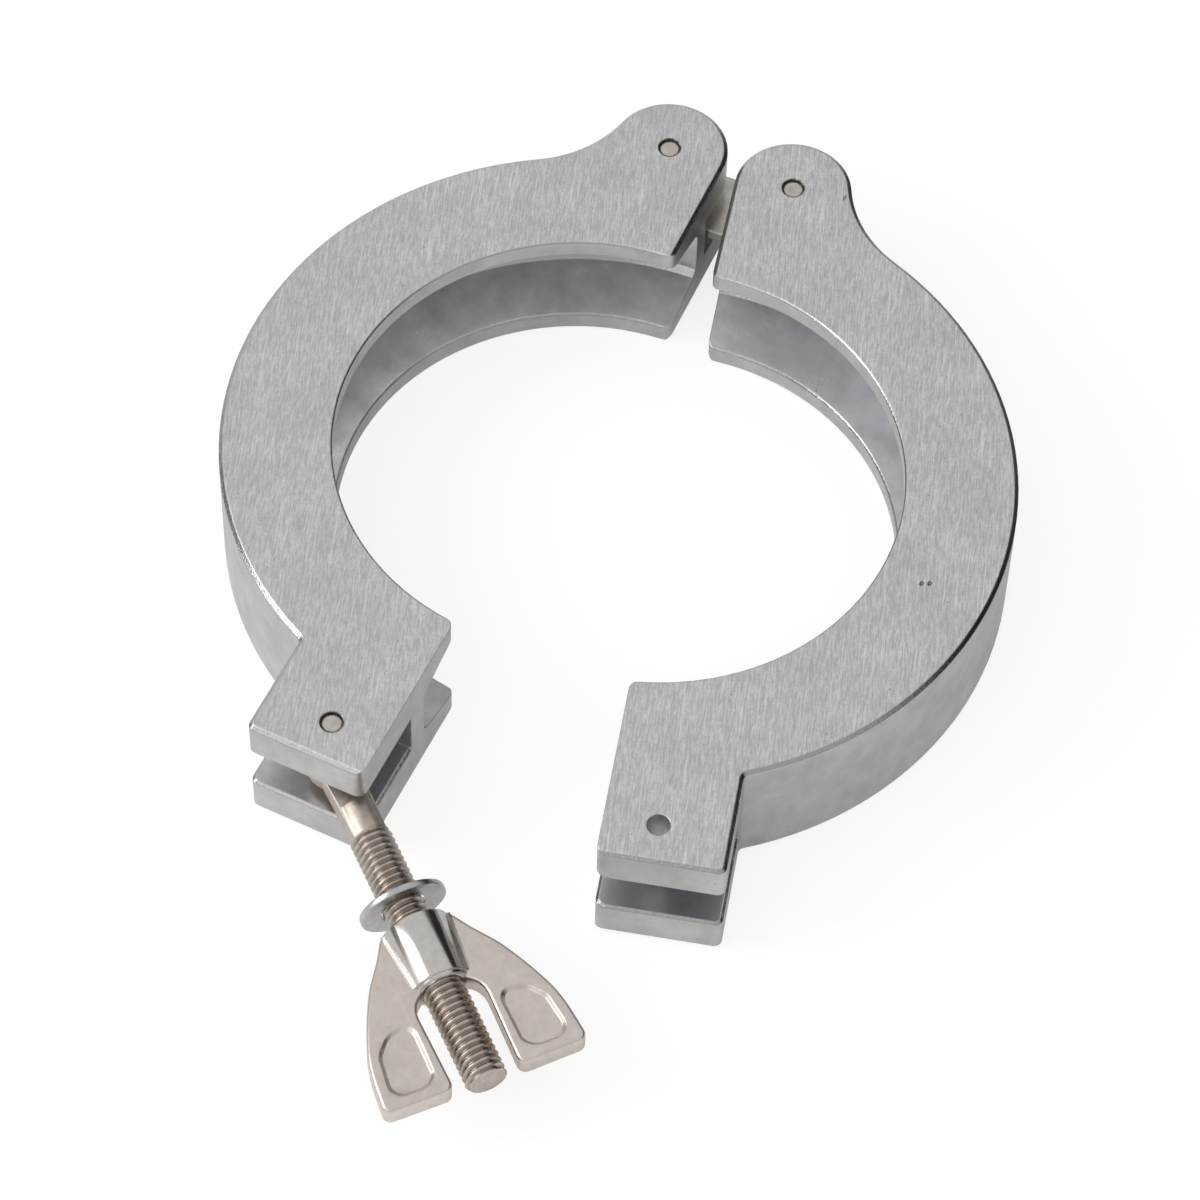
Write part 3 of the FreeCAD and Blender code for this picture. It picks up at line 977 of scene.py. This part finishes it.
def makeFloor():
    s = studio
    floor = addPrimitive(bpy.ops.mesh.primitive_plane_add, "paperFloor", size=s["floorSize"],
                         location=(0, 0, (s["floorHeight"] - s["floorDrop"]) * mm))
    applyPlace(floor)
    material, tree, shader = newMaterial("palePaper")
    shader.inputs["Roughness"].default_value = 0.9
    shader.inputs["Specular IOR Level"].default_value = 0.0
    path = addNode(tree, "ShaderNodeLightPath", (-300, 300))
    place = addNode(tree, "ShaderNodeTexCoord", (-900, -200))

    def mirroredPast(way, span, spot, full=1.0):
        # rises to full along a way over the floor, for reflections only
        dot = addNode(tree, "ShaderNodeVectorMath", (spot[0] - 200, spot[1]), {"operation": "DOT_PRODUCT"},
                      {1: way})
        feed(tree, dot.inputs[0], place.outputs["Object"])
        past = rampValue(tree, dot.outputs["Value"], *span, spot, atEnd=full)
        return math2(tree, "MULTIPLY", past, path.outputs["Is Glossy Ray"], (spot[0] + 200, spot[1]))

    # the sheet ends in a dark room behind and to the right
    beyond = mirroredPast(s["darkWay"], s["darkFloorRange"], (-500, -200))
    # the sheet is a little greyer on the left where the outer wall mirrors it
    greyer = mirroredPast(s["leftFloorWay"], s["leftFloorRange"], (-500, -550), s["leftFloor"])
    kept = math2(tree, "SUBTRACT", 1.0, greyer, (-150, -550))
    plain = mixValue(tree, beyond, s["floorTone"], s["darkFloor"], (-300, 500))
    plain = math2(tree, "MULTIPLY", plain, kept, (-150, 300))
    tone = mixValue(tree, path.outputs["Is Camera Ray"], plain, s["seenTone"], (0, 300))
    feed(tree, shader.inputs["Base Color"], tone)
    seen = math2(tree, "MULTIPLY", path.outputs["Is Camera Ray"], s["seenGlow"], (0, 0))
    mirrored = math2(tree, "MULTIPLY", path.outputs["Is Glossy Ray"], s["mirrorGlow"], (0, -200))
    hidden = math2(tree, "MULTIPLY", beyond, s["mirrorGlow"], (0, -400))
    mirrored = math2(tree, "SUBTRACT", mirrored, hidden, (100, -300))
    glow = math2(tree, "ADD", seen, mirrored, (200, -100))
    shader.inputs["Emission Color"].default_value = (1, 1, 1, 1)
    feed(tree, shader.inputs["Emission Strength"], glow)
    setMaterial(floor, material)


def makeWorld():
    s = studio
    world = bpy.data.worlds.new("studioSky")
    bpy.context.scene.world = world
    world.use_nodes = True
    tree = world.node_tree
    tree.nodes.clear()
    output = addNode(tree, "ShaderNodeOutputWorld", (900, 0))
    background = addNode(tree, "ShaderNodeBackground", (700, 0))
    tree.links.new(background.outputs["Background"], output.inputs["Surface"])
    place = addNode(tree, "ShaderNodeTexCoord", (-900, 0))
    way = place.outputs["Generated"]
    split = addNode(tree, "ShaderNodeSeparateXYZ", (-700, 200))
    feed(tree, split.inputs["Vector"], way)

    def towards(part, spot):
        # 1 on the way to a named part of the room, 0 away from it
        dot = addNode(tree, "ShaderNodeVectorMath", (spot[0] - 250, spot[1]), {"operation": "DOT_PRODUCT"},
                      {1: s[part + "Way"]})
        feed(tree, dot.inputs[0], way)
        return rampValue(tree, dot.outputs["Value"], *s[part + "Range"], spot)

    bright = rampValue(tree, split.outputs["Z"], *s["skyRise"], (-450, 300),
                       atStart=s["skyHorizon"], atEnd=s["skyTop"])
    for part, level in (("leftGlow", 50), ("frontGlow", 750)):
        glow = math2(tree, "MULTIPLY", towards(part, (-450, level)), s[part], (-250, level))
        bright = math2(tree, "ADD", bright, glow, (-100, level))
    leftDark = math2(tree, "MULTIPLY", towards("leftShade", (-450, 500)), -s["leftShade"], (-250, 500))
    leftDark = math2(tree, "ADD", leftDark, 1.0, (-150, 500))
    bright = math2(tree, "MULTIPLY", bright, leftDark, (0, 300))
    # a dark stretch of room behind and to the right, below the soft ceiling light
    aside = towards("dark", (-450, -250))
    low = rampValue(tree, split.outputs["Z"], *s["ceilingRange"], (-450, -500), atStart=1.0, atEnd=0.0)
    dark = math2(tree, "MULTIPLY", aside, low, (-200, -350))
    shaded = mixValue(tree, dark, bright, s["darkSide"], (100, 0))
    path = addNode(tree, "ShaderNodeLightPath", (100, 300))
    strength = mixValue(tree, path.outputs["Is Camera Ray"], shaded, 1.0, (400, 0))
    feed(tree, background.inputs["Strength"], strength)


def makeKeyLight():
    s = studio
    data = bpy.data.lights.new("keySoftbox", "AREA")
    data.shape = "SQUARE"
    data.size = s["keySize"]
    data.energy = s["keyPower"]
    lamp = bpy.data.objects.new("keySoftbox", data)
    bpy.context.scene.collection.objects.link(lamp)
    lamp.location = s["keyPlace"]
    lamp.rotation_euler = (-Vector(s["keyPlace"])).to_track_quat("-Z", "Y").to_euler()


photoCamera = {
    "target": (8.085, -10.501, -10.185),
    "distance": 735.98,
    "elevation": 56.95,
    "azimuth": 22.5,
    "roll": 1.964,
    "lens": 157.45,
}


def makeCamera():
    s = photoCamera
    tilt = math.radians(s["elevation"])
    turn = math.radians(90 + s["azimuth"])
    roll = math.radians(s["roll"])
    forward = Vector((math.cos(tilt) * math.cos(turn), math.cos(tilt) * math.sin(turn), -math.sin(tilt)))
    right = Vector((math.sin(turn), -math.cos(turn), 0))
    up = right.cross(forward)
    across = right * math.cos(roll) + up * math.sin(roll)
    upward = up * math.cos(roll) - right * math.sin(roll)
    data = bpy.data.cameras.new("photoCamera")
    data.sensor_width = 36
    data.lens = s["lens"]
    data.clip_start = 0.01
    view = bpy.data.objects.new("photoCamera", data)
    bpy.context.scene.collection.objects.link(view)
    turned = Matrix((across, upward, -forward)).transposed().to_4x4()
    spot = Vector(s["target"]) * mm - forward * s["distance"] * mm
    view.matrix_world = Matrix.Translation(spot) @ turned
    bpy.context.scene.camera = view


makeFloor()
makeWorld()
makeKeyLight()
makeCamera()
bpy.context.scene.view_settings.view_transform = "Standard"
print("floor, light and camera made")
